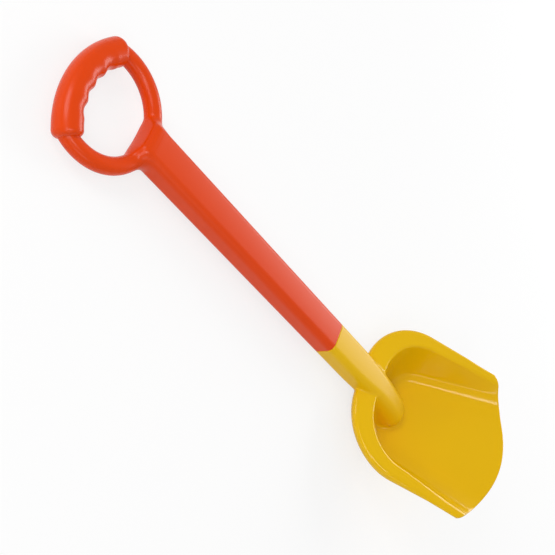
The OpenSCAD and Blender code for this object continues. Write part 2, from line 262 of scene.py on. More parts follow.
# %% [markdown]
# ## The grip
# The grip is a thick round bar along an arc, with rounded ends and four hollows for the
# fingers on its inside. It follows a path and its hollows repeat, so Geometry Nodes make it.
# The tree has a named input for each size, so that the grip can be tried thicker or longer
# in the modifier's panel.

# %% Sizes of the grip and its empty tree
GRIP_X, GRIP_R, GRIP_LEN = -245.2, 68.6, 92.0
GRIP_SIZES = {"Bend radius": GRIP_R, "Half angle": GRIP_LEN / 2 / GRIP_R, "Thickness": 21.9,
              "End radius": 5.0, "Hollow pitch": 16.1, "Hollow depth": 1.6}
grip_tree = bpy.data.node_groups.new("finger_grip", "GeometryNodeTree")
for size in GRIP_SIZES:
    grip_tree.interface.new_socket(size, in_out="INPUT", socket_type="NodeSocketFloat")
grip_tree.interface.new_socket("Finish", in_out="INPUT", socket_type="NodeSocketMaterial")
grip_tree.interface.new_socket("Grip", in_out="OUTPUT", socket_type="NodeSocketGeometry")
g = Tree(grip_tree)
sizes = g.node("NodeGroupInput").outputs
print("inputs of the grip:", ", ".join(GRIP_SIZES))

# %% [markdown]
# ## The grip's arc
# The middle of the bar is an arc of a circle, behind the ring. A line with many points is
# bent to it by their numbers. The points stand closer together at both ends, where the
# thickness changes fast. The arc primitive would space them evenly and leave the ends rough.

# %% Arc of the grip
ARC_POINTS, CROWDING = 180, 0.92


def on_arc(angle):
    back = g.math("MULTIPLY", sizes["Bend radius"], -1.0)
    return g.node("ShaderNodeCombineXYZ", {
        "X": g.math("MULTIPLY", g.math("COSINE", angle), back),
        "Y": g.math("MULTIPLY", g.math("SINE", angle), sizes["Bend radius"])}).outputs[0]


share = g.math("DIVIDE", g.node("GeometryNodeInputIndex").outputs[0], ARC_POINTS - 1.0)
crowd = g.math("MULTIPLY", g.math("SINE", g.math("MULTIPLY", share, 2 * math.pi)),
               CROWDING / (2 * math.pi))
from_middle = g.math("SUBTRACT", g.math("MULTIPLY", g.math("SUBTRACT", share, crowd), 2.0), 1.0)
turn = g.math("MULTIPLY", from_middle, sizes["Half angle"])
straight = g.node("GeometryNodeCurvePrimitiveLine").outputs[0]
straight = g.node("GeometryNodeResampleCurve", {"Curve": straight, "Count": ARC_POINTS}).outputs[0]
arc = g.node("GeometryNodeSetPosition", {"Geometry": straight, "Position": on_arc(turn)}).outputs[0]
print("arc:", ARC_POINTS, "points over", round(2 * math.degrees(GRIP_LEN / 2 / GRIP_R)), "degrees")

# %% [markdown]
# ## The grip's thickness
# Along the arc the bar keeps its full thickness, less a quarter round at each end. The
# radius is set on the curve, and a circle of radius 1 is swept along it. The angle is kept
# on each point first, because the swept mesh has numbers of its own.

# %% Thickness and sweep
ROUND_POINTS = 96
to_end = g.math("MULTIPLY", g.math("SUBTRACT", sizes["Half angle"], g.math("ABSOLUTE", turn)),
                sizes["Bend radius"])
in_round = g.math("MAXIMUM", g.math("SUBTRACT", sizes["End radius"], to_end), 0.0)
squared = g.math("SUBTRACT", g.math("POWER", sizes["End radius"], 2.0),
                 g.math("POWER", in_round, 2.0))
core_r = g.math("SUBTRACT", g.math("MULTIPLY", sizes["Thickness"], 0.5), sizes["End radius"])
bar_r = g.math("ADD", core_r, g.math("SQRT", g.math("MAXIMUM", squared, 0.0)))
arc = g.node("GeometryNodeSetCurveRadius", {"Curve": arc, "Radius": bar_r}).outputs[0]
kept = g.node("GeometryNodeCaptureAttribute", {"Geometry": arc})
kept.capture_items.new("FLOAT", "turn")
grip_tree.links.new(turn, kept.inputs["turn"])
circle = g.node("GeometryNodeCurvePrimitiveCircle",
                {"Resolution": ROUND_POINTS, "Radius": 1.0}).outputs[0]
bar = g.node("GeometryNodeCurveToMesh", {"Curve": kept.outputs["Geometry"],
                                         "Profile Curve": circle, "Fill Caps": True})
if "Scale" in bar.inputs:  # where the sweep asks for the radius by a socket
    grip_tree.links.new(g.node("GeometryNodeInputRadius").outputs[0], bar.inputs["Scale"])
print("bar:", ARC_POINTS, "rings of", ROUND_POINTS, "points")

# %% [markdown]
# ## The finger hollows
# A wave along the bar pushes the surface in. It is strongest on the inside of the bend, where
# the fingers close, weak on the top and gone on the outside. Four balls could be cut out
# instead, but they would leave sharp ridges, and these are soft. The tree ends by making its
# result real and giving it the plastic.

# %% Hollows and the end of the tree
HOLLOWS, RIDGE_POWER, INSIDE_POWER = 4, 1.4, 2.0
turn_there = kept.outputs["turn"]
along = g.math("MULTIPLY", turn_there, sizes["Bend radius"])
waves = g.math("MULTIPLY", g.math("DIVIDE", along, sizes["Hollow pitch"]), math.pi)
wave = g.math("POWER", g.math("ABSOLUTE", g.math("SINE", waves)), RIDGE_POWER)
in_hollows = g.math("LESS_THAN", g.math("ABSOLUTE", along),
                    g.math("MULTIPLY", sizes["Hollow pitch"], HOLLOWS / 2))
middle = on_arc(turn_there)
place = g.node("GeometryNodeInputPosition").outputs[0]
out = g.vector("NORMALIZE", {0: g.vector("SUBTRACT", {0: place, 1: middle})[0]})[0]
away = g.vector("NORMALIZE", {0: middle})[0]
facing_away = g.vector("DOT_PRODUCT", {0: out, 1: away})["Value"]
inside = g.math("POWER", g.math("MULTIPLY", g.math("SUBTRACT", 1.0, facing_away), 0.5), INSIDE_POWER)
depth = g.math("MULTIPLY", g.math("MULTIPLY", wave, in_hollows), inside)
depth = g.math("MULTIPLY", depth, sizes["Hollow depth"])
push = g.vector("SCALE", {0: out, "Scale": g.math("MULTIPLY", depth, -1.0)})[0]
bar = g.node("GeometryNodeSetPosition", {"Geometry": bar.outputs[0], "Offset": push}).outputs[0]
bar = g.node("GeometryNodeRealizeInstances", {"Geometry": bar}).outputs[0]
bar = g.node("GeometryNodeSetMaterial", {"Geometry": bar, "Material": sizes["Finish"]}).outputs[0]
g.node("NodeGroupOutput", {"Grip": bar})
print("grip tree:", len(grip_tree.nodes), "nodes")

# %% [markdown]
# ## Moulded plastic
# Both mouldings are one plastic through and through, with two finishes from the mould: the
# ring and the bowl are glossy, and the shaft has a fine satin grain. Two materials with a
# hard border could show that, but on the real piece one finish runs into the other. So each
# point carries a number called satin, which sets the roughness and the grain. A slow change
# in colour and gloss keeps large faces from looking printed. The shine is kept low, because
# the real colours are very full.

# %% Material of the mouldings
CLOUD_SCALE, FLOW_SCALE, GRAIN_SCALE = 14.0, 55.0, 1800.0
GRAIN_DEPTH, GRAIN_STRENGTH = 0.00003, 0.35
SINK_DEPTH, SINK_STRENGTH, GLOSS_CHANGE = 0.00025, 0.12, 0.05
SHINE = 0.2


def moulded_plastic(name, colour, deep_colour, gloss_rough, satin_rough):
    material = bpy.data.materials.new(name)
    material.use_nodes = True
    material.node_tree.nodes.clear()
    t = Tree(material.node_tree)
    where = t.node("ShaderNodeTexCoord").outputs["Object"]

    def noise(scale, detail):
        return t.node("ShaderNodeTexNoise",
                      {"Vector": where, "Scale": scale, "Detail": detail}).outputs["Fac"]

    satin = t.node("ShaderNodeAttribute", attribute_name="satin").outputs["Fac"]
    tint = t.node("ShaderNodeMix", {"Factor": noise(CLOUD_SCALE, 3.0)}, data_type="RGBA")
    tint.inputs["A"].default_value = (*deep_colour, 1)
    tint.inputs["B"].default_value = (*colour, 1)
    flow = noise(FLOW_SCALE, 2.0)
    rough = t.node("ShaderNodeMapRange", {"Value": satin, "To Min": gloss_rough,
                                          "To Max": satin_rough}).outputs[0]
    change = t.math("MULTIPLY", t.math("SUBTRACT", flow, 0.5), GLOSS_CHANGE)
    grain = t.node("ShaderNodeBump", {
        "Height": noise(GRAIN_SCALE, 2.0), "Distance": GRAIN_DEPTH,
        "Strength": t.math("MULTIPLY", satin, GRAIN_STRENGTH)}).outputs[0]
    sink = t.node("ShaderNodeBump", {"Height": flow, "Distance": SINK_DEPTH,
                                     "Strength": SINK_STRENGTH, "Normal": grain}).outputs[0]
    shader = t.node("ShaderNodeBsdfPrincipled", {
        "Base Color": tint.outputs["Result"], "Roughness": t.math("ADD", rough, change),
        "Normal": sink, "Specular IOR Level": SHINE})
    t.node("ShaderNodeOutputMaterial", {"Surface": shader.outputs[0]})
    return material


print("shine", SHINE, "and grain", GRAIN_DEPTH * MM_PER_M, "mm deep")

# %% The two plastics
handle_orange =moulded_plastic("handle_orange", (0.74, 0.057, 0.001), (0.71, 0.052, 0.0005),
                                gloss_rough=0.26, satin_rough=0.37)
scoop_yellow = moulded_plastic("scoop_yellow", (0.82, 0.490, 0.001), (0.78, 0.460, 0.0005),
                               gloss_rough=0.12, satin_rough=0.37)
print("materials:", handle_orange.name, scoop_yellow.name)

# %% [markdown]
# ## The grip as a plain mesh
# The tree runs as a modifier on an empty mesh. Its result is copied to a plain mesh, because
# the grip is to become part of the handle's own mesh, and the helper object is removed.

# %% Run the tree and keep its result
grip_object = bpy.data.objects.new("grip", bpy.data.meshes.new("grip"))
bpy.context.scene.collection.objects.link(grip_object)
grip_nodes = grip_object.modifiers.new("finger_grip", "NODES")
grip_nodes.node_group = grip_tree
socket_of = {s.name: s.identifier for s in grip_tree.interface.items_tree if s.in_out == "INPUT"}
for size, value in GRIP_SIZES.items():
    grip_nodes[socket_of[size]] = value
grip_nodes[socket_of["Finish"]] = handle_orange
grip_seen = grip_object.evaluated_get(bpy.context.evaluated_depsgraph_get())
grip_mesh = bpy.data.meshes.new_from_object(grip_seen)
grip_object.modifiers.clear()
bpy.data.objects.remove(grip_object)
grip_points = np.array([v.co for v in grip_mesh.vertices]) + (GRIP_X, 0, -RING_DROP)
grip_faces = [list(f.vertices) for f in grip_mesh.polygons]
print("grip:", len(grip_points), "points", grip_points.min(0).round(1), grip_points.max(0).round(1))

# %% [markdown]
# ## A finished piece
# A moulding is made of a few closed skins that reach into each other. They become one mesh,
# with all faces pointing outwards: a closed skin whose volume comes out negative is inside
# out and is turned. The piece then gets its plastic, rides on the shovel's only body and
# stands for one node of the solid model. A boolean union would also do, but it leaves thin
# faces where the skins cross, which shade badly.

# %% A mesh with its faces outwards
def outward(points, faces):
    p = np.asarray(points, float)
    volume = sum(np.dot(p[f[0]], np.cross(p[f[i]], p[f[i + 1]]))
                 for f in faces for i in range(1, len(f) - 1))
    return faces if volume > 0 else [list(f)[::-1] for f in faces]


def make_mesh(name, points, faces, satin):
    mesh = bpy.data.meshes.new(name)
    mesh.from_pydata(at_rest(points).tolist(), [], [list(map(int, f)) for f in faces])
    finish = mesh.attributes.new("satin", "FLOAT", "POINT")
    finish.data.foreach_set("value", np.asarray(satin, np.float32))
    mesh.polygons.foreach_set("use_smooth", np.ones(len(mesh.polygons), bool))
    mesh.update()
    return mesh


corner = [(0, 0, 0), (1, 0, 0), (0, 1, 0), (0, 0, 1)]
inside_out = [[0, 1, 2], [0, 2, 3], [0, 3, 1], [1, 3, 2]]
print("first face of a skin made inside out:", inside_out[0], "->", outward(corner, inside_out)[0])

# %% A piece on the shovel's body
def make_piece(name, parts, material, node):
    points = np.concatenate([p for p, _, _ in parts])
    faces, start = [], 0
    for p, f, _ in parts:
        faces += [[int(i) + start for i in face] for face in outward(p, f)]
        start += len(p)
    mesh = make_mesh(name, points, faces, np.concatenate([s for _, _, s in parts]))
    mesh.materials.append(material)
    piece = bpy.data.objects.new(name, mesh)
    bpy.context.scene.collection.objects.link(piece)
    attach(piece, "root")
    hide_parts(node)
    triangles = sum(len(f.vertices) - 2 for f in mesh.polygons)
    print(name, len(mesh.vertices), "points,", triangles, "triangles")


print("piece helpers ready")

# %% [markdown]
# ## The handle
# The grip's rounded ends swallow the ends of the arms, as on the real moulding, where a
# crease shows between them. So the two skins are joined as they are, without a fillet.

# %% Join the handle
make_piece("handle_moulding", [(handle_points, handle_faces, handle_satin),
                               (grip_points, grip_faces, np.zeros(len(grip_points)))],
           handle_orange, "handle")

# %% [markdown]
# ## The bowl of the scoop
# Seen on its floor, the bowl has straight sides, round back corners and a straight back, and
# so has the rim outside it. The rim lies on a plane that rises towards the back. The shape
# follows a rule, so it is made by formula, which keeps the walls even. Sculpting by hand
# could give a similar bowl, but not with true outlines.

# %% Outlines of bowl and rim
FLOOR_PITCH, FRONT_REACH, FRONT_LIFT = math.radians(38.6), 224.6, 60.8
MOUTH_W, MOUTH_BOW, WALL = 149.4, 33.2, 2.5
RIM_FRONT, RIM_SLOPE = 20.3, math.tan(math.radians(15.4))
BOWL = {"half": MOUTH_W / 2, "taper": math.radians(9.7), "corner": 47.0, "back": 147.0}
RIM = {"half": MOUTH_W / 2 + 1.2, "taper": math.radians(0.5), "corner": 60.0, "back": 168.5}


def outline(k, half, taper, corner, back):
    # k runs along the side up to 1, round the corner up to 2 and along the back up to 3
    centre = back - corner
    side = half - math.tan(taper) * (centre - MOUTH_BOW) - corner / math.cos(taper)
    if k <= 1:
        return np.array([mix(MOUTH_BOW, centre + corner * math.sin(taper), k),
                         mix(half, side + corner * math.cos(taper), k)])
    if k <= 2:
        a = (math.pi / 2 - taper) * (2 - k)
        return np.array([centre + corner * math.cos(a), side + corner * math.sin(a)])
    return np.array([back, side * (3 - k)])


def rim_height(t):
    return RIM_FRONT + RIM_SLOPE * (t - MOUTH_BOW)


print("bowl back", outline(3, **BOWL), "rim back", outline(3, **RIM))

# %% [markdown]
# ## The walls of the bowl
# Round the back the wall rises from the floor in one curve. Along the sides it has two soft
# bends, one above the other, and each of them catches a long thin streak of light. A plain
# curve would give one broad sheen there instead. So the side wall is made of straight runs,
# a gentle foot, a slope and a steep wall, joined by a smooth maximum, and towards the back
# it fades into the one curve. The underside keeps the plain curve.

# %% Height of the wall
LOWER_BEND, UPPER_BEND = 19.6, 13.4
FOOT_SOFT, LOWER_SOFT, UPPER_SOFT = 2.0, 1.7, 1.2
# Each pair holds the value at the front and at the back end of the side
FOOT_REACH, LOWER_HEIGHT, UPPER_HEIGHT, TOP_BAND = (33.8, 28), (5.4, 2.4), (10.2, 8.4), (5.0, 1.0)
CURVE_RUN, CURVE_POWER, BOW_POWER = (41, 30), (2, 3), (2, 1)


def wall_top(back_share):
    return mix(*TOP_BAND, back_share)


def side_wall(far, back_share, top):
    low, high = mix(*LOWER_HEIGHT, back_share), mix(*UPPER_HEIGHT, back_share)
    reach = mix(*FOOT_REACH, back_share)
    h = smooth_max(0 * far, low * (1 - (far - LOWER_BEND) / (reach - LOWER_BEND)), FOOT_SOFT)
    slope = (LOWER_BEND - far) / (LOWER_BEND - UPPER_BEND)
    h = smooth_max(h, mix(low, high, slope), LOWER_SOFT)
    steep = (UPPER_BEND - far) / (UPPER_BEND - wall_top(back_share))
    h = smooth_max(h, mix(high, top, steep), UPPER_SOFT)
    return np.minimum(h, top)


for far in (30, 16, 8):
    print("wall", far, "mm from its top:", side_wall(np.array(far), 0.3, 26.0).round(1), "mm high")

# %% [markdown]
# ## Ribs
# A rib is the line from the middle of the floor out to the wall's top at one place round the
# bowl. At the front, ribs bow forwards, which gives the shovel its curved front edge. The
# same function draws the underside, lower by the thickness of the wall.

# %% Lines from the floor to the top of the wall
FOOT_SHARES = (0.64, 0.78)
BACK_FROM, BACK_OVER = 0.9, 0.7


def round_back(k):
    return float(smooth_step((k - BACK_FROM) / BACK_OVER))


def rib(k, v, edge, more):
    back_share = min(max(k, 0), 1)
    foot = BOWL["back"] * (FOOT_SHARES[0] * k if k <= 1 else mix(*FOOT_SHARES, (k - 1) / 2))
    far = (1 - v) * math.hypot(edge[0] - foot, edge[1])
    top = rim_height(edge[0])
    run, power = mix(*CURVE_RUN, back_share), mix(*CURVE_POWER, back_share)
    lift = top * np.clip(1 - far / (run + more), 0, 1) ** power
    if more == 0:
        lift = mix(side_wall(far, back_share, top), lift, round_back(k))
    t = foot + (edge[0] - foot) * v ** mix(*BOW_POWER, back_share)
    return np.stack([t, edge[1] * v, lift - more], -1)


print("rib at the back ends at", rib(3.0, np.array([1.0]), outline(3, **BOWL), 0).round(1))

# %% [markdown]
# ## Soft edges and front corners
# A moulded edge is never sharp. A short curve, drawn from three points, rounds each edge of
# the rim. At the two front corners, points near the rim's edge slide back along the rim, most at the
# very front, which rounds the corner off. A bevel could round edges too, but on the narrow
# front end of the rim it would cut into the wall.

# %% Curves, lines and round front corners
FRONT_CORNER_R, FRONT_CORNER_FADE = 3.8, 0.35


def bend(a, corner, b, n):
    f = (np.arange(1, n + 1) / (n + 1))[:, None]
    return (1 - f) ** 2 * a + 2 * f * (1 - f) * corner + f ** 2 * b


def line(a, b, n):
    return mix(np.asarray(a), np.asarray(b), np.linspace(0, 1, n)[:, None])


def round_corner(points, k, outer):
    inset = np.clip(outer[1] - points[:, 1], 0, FRONT_CORNER_R)
    slide = FRONT_CORNER_R - np.sqrt(FRONT_CORNER_R ** 2 - (FRONT_CORNER_R - inset) ** 2)
    slide = slide * max(1 - k / FRONT_CORNER_FADE, 0) ** 2
    return points + np.stack([slide, 0 * slide, slide * RIM_SLOPE], -1)


print("front corners:", FRONT_CORNER_R, "mm round")

# %% [markdown]
# ## The rim at one place
# At each place round the rim a section runs from the middle of the floor up the wall, over
# the flat rim, down the turned-down edge and back underneath. The rim is wide at the back
# and runs out at the front corners, so its edge, its rounding and its thickness all shrink
# with its width. They could be drawn by hand for a few places, but worked out from the width
# they change evenly.

# %% Measures of the rim
EDGE_DROP, NARROW, WIDER = (2.8, 8.5), 7, 8
LIP_SHARE, FLAT_FROM, FLAT_SHARE = 0.42, 2.2, 0.3
EDGE_ROUND, EDGE_SHARE, DROP_SHARE = 6.0, 0.5, 0.8
FOOT_ROUND, FOOT_SHARE = 0.8, 0.4


def rim_measures(k):
    inner, outer = outline(k, **BOWL), outline(k, **RIM)
    width = np.linalg.norm(outer - inner)
    thick = min(WALL, LIP_SHARE * width)
    drop = mix(*EDGE_DROP, float(np.clip((width - NARROW) / WIDER, 0, 1)))
    return SimpleNamespace(
        inner=inner, outer=outer, width=width, out=(outer - inner) / width, thick=thick, drop=drop,
        flat_from=min(FLAT_FROM, FLAT_SHARE * width),
        round_out=min(EDGE_ROUND, EDGE_SHARE * width, DROP_SHARE * drop),
        foot_r=min(FOOT_ROUND, FOOT_SHARE * thick))


def on_rim(m, s):
    q = m.inner + m.out * s
    return np.array([*q, rim_height(q[0])])


for k in (0.0, 1.0, 3.0):
    print("rim at", k, "is", round(float(rim_measures(k).width), 1), "mm wide")

# %% [markdown]
# ## The inside of the wall
# The first part of a section is the inside of the wall. It stops short of the rim, and a
# curve leads over onto it. Near the front this curve keeps to the bow of the front edge, or
# a nick would show at the corner.

# %% Inside of the wall and the rim's inner edge
WALL_SAMPLES, BOW_FADE = 800, 0.5
INNER_SOFT, FRONT_SOFT = 2.8, 10.2
RIB_STEPS, RIB_CROWDING = 60, 1.5
RIB_SHARES = 1 - (1 - np.arange(RIB_STEPS + 1) / RIB_STEPS) ** RIB_CROWDING


def wall_inside(k, inner):
    soft = INNER_SOFT + FRONT_SOFT * max(1 - k, 0) ** 2
    shares = np.linspace(0, 1, WALL_SAMPLES)
    fine = rib(k, shares, inner, 0)
    left = np.linalg.norm(np.diff(fine, axis=0), axis=1)[::-1].cumsum()[::-1]
    stop = shares[:-1][left > soft][-1]
    return rib(k, stop * RIB_SHARES, inner, 0)


def inner_edge(k, m, wall_end):
    lead = wall_top(min(k, 1)) * (1 - round_back(k))
    edge = bend(wall_end, on_rim(m, -lead), on_rim(m, m.flat_from), 5)
    if k < 1:
        fade = smooth_step(k / BOW_FADE)
        bow = m.inner[0] * mix(np.clip(edge[:, 1] / m.inner[1], 0, 1) ** 2, 1, fade)
        edge[:, 0] = mix(bow, edge[:, 0], fade)
    return edge


print("inside of the wall:", len(wall_inside(0.6, outline(0.6, **BOWL))), "points in a section")

# %% [markdown]
# ## Whole sections
# A section comes in two parts, over the rim and below it, which meet at the foot of the
# turned-down edge. Straight runs and short curves follow each other, each with a fixed
# number of points, so that every section has the same number and they can be joined.

# %% Sections round the rim
UP = np.array([0, 0, 1.0])


def over_rim(k, m):
    wall = wall_inside(k, m.inner)
    edge = np.array([*m.outer, rim_height(m.outer[0])])
    flat_end, edge_top = on_rim(m, m.width - m.round_out), edge - m.round_out * UP
    return np.concatenate([
        wall, inner_edge(k, m, wall[-1]), line(on_rim(m, m.flat_from), flat_end, 6),
        bend(flat_end, edge, edge_top, 6), line(edge_top, edge - (m.drop - m.foot_r) * UP, 3)])


def below_rim(k, m):
    edge = np.array([*m.outer, rim_height(m.outer[0])])
    lip = np.array([*(m.outer - m.out * m.thick), edge[2]])
    under, bottom = m.inner + m.out * m.thick, edge - m.drop * UP
    foot_in = bottom - np.array([*m.out, 0]) * m.foot_r
    return np.concatenate([
        bend(edge - (m.drop - m.foot_r) * UP, bottom, foot_in, 2),
        line(foot_in, lip - m.drop * UP, 3), line(lip - m.drop * UP, lip - WALL * UP, 7)[1:],
        line(lip - WALL * UP, [*under, rim_height(under[0]) - WALL], 10)[1:],
        rib(k, RIB_SHARES, under, WALL)[::-1]])


def section(k):
    m = rim_measures(k)
    return [round_corner(part, k, m.outer) for part in (over_rim(k, m), below_rim(k, m))]


FRONT_K = 0.0135
for name, k in (("front", FRONT_K), ("side", 0.6), ("back", 3.0)):
    print(name, "section:", [len(part) for part in section(k)], "points")

# %% [markdown]
# ## Skin of the bowl
# The sections are joined by rows of faces, as in a loft. They stand a little closer together
# round the corner, where the wall turns. Only one half of the bowl is made here.

# %% Skin of one half
SIDE_STATIONS, CORNER_STATIONS, BACK_STATIONS = 44, 50, 8
stations = np.concatenate([mix(FRONT_K, 1, np.linspace(0, 1, SIDE_STATIONS)[:-1]),
                           mix(1, 2, np.linspace(0, 1, CORNER_STATIONS)[:-1]),
                           mix(2, 3, np.linspace(0, 1, BACK_STATIONS))])
skin = np.stack([np.concatenate(section(k)) for k in stations])
ring_n = skin.shape[1]
half_faces = []
for j in range(len(stations) - 1):
    for i in range(ring_n - 1):
        here, there = j * ring_n + i, (j + 1) * ring_n + i
        half_faces.append([here, there, there + 1, here + 1])
print("skin:", len(stations), "sections of", ring_n, "points")

# %% [markdown]
# ## The front edge
# The front edge of the real scoop is blunt, as a moulded edge is. Half rounds between the
# inside and the underside close it. They swell as far forward as the outline goes.

# %% Blunt front edge
BLUNT_STEPS = 7
half_n = ring_n // 2
along_front = np.arange(half_n)
opposite = ring_n - 1 - along_front
upper, lower = skin[0, along_front], skin[0, opposite]
between, half_way = (upper + lower) / 2, (upper - lower) / 2
very_front = np.concatenate(section(0.0))
forward = (very_front[along_front] + very_front[opposite]) / 2 - between
turns = [math.pi * j / BLUNT_STEPS for j in range(1, BLUNT_STEPS)]
blunt = [between + half_way * math.cos(a) + forward * math.sin(a) for a in turns]
first = len(stations) * ring_n
rows = [along_front, *[first + j * half_n + along_front for j in range(len(blunt))], opposite]
for a, b in zip(rows[:-1], rows[1:]):
    half_faces += [[a[i], a[i + 1], b[i + 1], b[i]] for i in range(half_n - 1)]
half_faces.append([row[half_n - 1] for row in rows])
bowl_half = np.concatenate([skin.reshape(-1, 3), *blunt])
print("half of the bowl:", len(bowl_half), "points")

# %% [markdown]
# ## The other half
# The other half is a mirror image that shares the points on the middle line, so the bowl is
# one closed skin. A mirror modifier does the same, but the tongue below needs the finished
# skin now. At the end the bowl is pitched up to its place under the shaft.

# %% Mirror image and place of the bowl
ON_MIDDLE = 1e-9
shared = np.abs(bowl_half[:, 1]) < ON_MIDDLE
twin = np.arange(len(bowl_half))
twin[~shared] = len(bowl_half) + np.arange((~shared).sum())
both_halves = np.concatenate([bowl_half, bowl_half[~shared] * (1, -1, 1)])
bowl_faces = [[int(i) for i in f] for f in half_faces]
bowl_faces += [[int(twin[i]) for i in f[::-1]] for f in half_faces]
bowl_faces = [f for f in bowl_faces if len(set(f)) > 2]


def from_floor(p):
    c, s = math.cos(FLOOR_PITCH), math.sin(FLOOR_PITCH)
    return np.stack([FRONT_REACH - p[:, 0] * c - p[:, 2] * s, p[:, 1],
                     FRONT_LIFT - p[:, 0] * s + p[:, 2] * c], -1)


bowl_points = from_floor(both_halves)
bowl_faces = outward(bowl_points, bowl_faces)
print("bowl:", len(bowl_points), "points,", len(bowl_faces), "faces")

# %% [markdown]
# ## The scoop's shaft end and tongue
# The shaft's profile runs on past the seam, over the back of the rim and down into the bowl
# as a tongue with a round tip. On the way its top grows rounder, and a web fills the space
# between it and the back wall. A curve with a bevel could be bent like this, but it would
# not end in a round tip or stop at the floor. A distance field does both.

# %% Distance to the tongue
TONGUE_BEND, TONGUE_R, TIP_TURN = 70.0, 197.3, 56.0 / 209.0
TONGUE_EDGE_R, ROUNDER_FROM, ROUNDER_OVER = 11.0, 35, 75
WEB_SLOPE = 0.8


def tongue_field(p):
    x, y, z = p[..., 0], p[..., 1], p[..., 2]
    bent = x > TONGUE_BEND
    up = np.where(bent, np.hypot(x - TONGUE_BEND, z + TONGUE_R) - TONGUE_R, z)
    angle = np.where(bent, np.arctan2(x - TONGUE_BEND, z + TONGUE_R), 0)
    across = np.hypot(np.maximum(angle - TIP_TURN, 0) * TONGUE_R, y)
    edge_r = mix(SHAFT_EDGE_R, TONGUE_EDGE_R, smooth_step((x - ROUNDER_FROM) / ROUNDER_OVER))
    # Place on the bowl's floor, and the middle of the back wall at that height
    c, s = math.cos(FLOOR_PITCH), math.sin(FLOOR_PITCH)
    back = (FRONT_REACH - x) * c + (FRONT_LIFT - z) * s
    height = (FRONT_REACH - x) * s - (FRONT_LIFT - z) * c
    up_share = np.clip((height + WALL / 2) / rim_height(BOWL["back"]), 0, 1)
    run = CURVE_RUN[1] + WALL / 2
    wall = BOWL["back"] + WALL / 2 - run * (1 - up_share ** (1 / CURVE_POWER[1]))
    web = np.maximum(profile(across, up, edge_r, closed_below=False), (back - wall) * WEB_SLOPE)
    both = np.minimum(profile(across, up, edge_r), web)
    both = np.maximum(both, -height - WALL / 2)
    return smooth_max(both, SEAM_GAP - x, SEAM_ROUND)


print("at the middle of the shaft end:", tongue_field(np.array([30.0, 0, 0])), "mm")

# %% [markdown]
# ## The fillet round the tongue
# A soft fillet joins the tongue's sides to the floor and to the rim. The second form is the
# bowl's own skin: for each point near the tongue, a search tree finds the nearest face of
# the bowl. So the fillet follows whatever the bowl does there. It is small at the rim and
# grows towards the tip, and there is none underneath.

# %% Distance to tongue and fillet
bowl_tree = BVHTree.FromPolygons(bowl_points.tolist(), bowl_faces)
FLOOR_UP = Vector((-math.sin(FLOOR_PITCH), 0, math.cos(FLOOR_PITCH)))
SEARCH_REACH, SEARCH_FROM, FAR_OFF = 12, 55, 50.0
RIM_FILLET, TIP_FILLET, NO_FILLET, FILLET_FROM, FILLET_OVER = 2.5, 7.0, 0.01, 82, 16
FILLET_REACH, SINK, FACES_UP = 10, 0.06, -0.2


def scoop_field(p):
    shape = p.shape[:-1]
    p = p.reshape(-1, 3)
    d = tongue_field(p)
    skin_d, upward = np.full(len(p), FAR_OFF), np.zeros(len(p), bool)
    for i in np.flatnonzero((d < SEARCH_REACH) & (p[:, 0] > SEARCH_FROM)):
        at = Vector(p[i])
        found, normal, _, gap = bowl_tree.find_nearest(at)
        skin_d[i] = math.copysign(gap, (at - found).dot(normal)) + SINK
        upward[i] = normal.dot(FLOOR_UP) > FACES_UP
    grown = mix(RIM_FILLET, TIP_FILLET, smooth_step((p[:, 0] - FILLET_FROM) / FILLET_OVER))
    filled = smooth_min(d, skin_d, np.where(upward, grown, NO_FILLET))
    return np.maximum(filled, d - FILLET_REACH).reshape(shape)


print("search tree over", len(bowl_faces), "faces of the bowl")

# %% Mesh of the shaft end and tongue
SCOOP_SEAM, SCOOP_SHAFT, IN_BOWL = (-0.5, 4), (4, 56), (56, 152)
TONGUE_ACROSS, TONGUE_UP = (-27.2, 27.3), (-30, 14)
SCOOP_SHAFT_STEP, TONGUE_STEP, SATIN_FADE = 4.0, 0.85, 2.5
tongue_x = np.concatenate([np.arange(*SCOOP_SEAM, SEAM_STEP),
                           np.arange(*SCOOP_SHAFT, SCOOP_SHAFT_STEP),
                           np.arange(*IN_BOWL, TONGUE_STEP)])
tongue_points, tongue_faces = find_surface(
    scoop_field, tongue_x, np.arange(*TONGUE_ACROSS, TONGUE_STEP),
    np.arange(*TONGUE_UP, TONGUE_STEP), pulls=2)
tongue_satin = 1 - smooth_step(tongue_field(tongue_points) / SATIN_FADE)
print("tongue:", len(tongue_points), "points")

# %% [markdown]
# ## The scoop
# The bowl is glossy and the tongue is satin, and the finish changes over the fillet. Both
# skins become one piece, as the handle's did.

# %% Join the scoop
make_piece("scoop_moulding", [(bowl_points, bowl_faces, np.zeros(len(bowl_points))),
                              (tongue_points, tongue_faces, tongue_satin)],
           scoop_yellow, "scoop")

# %% [markdown]
# ## Floor
# The shovel lies on a plain white floor that keeps its soft shadow. More light would make
# the floor white, but would bleach the plastic too. So part of the floor's white is its own,
# and only the camera, reflections and rays through clear things see that part.

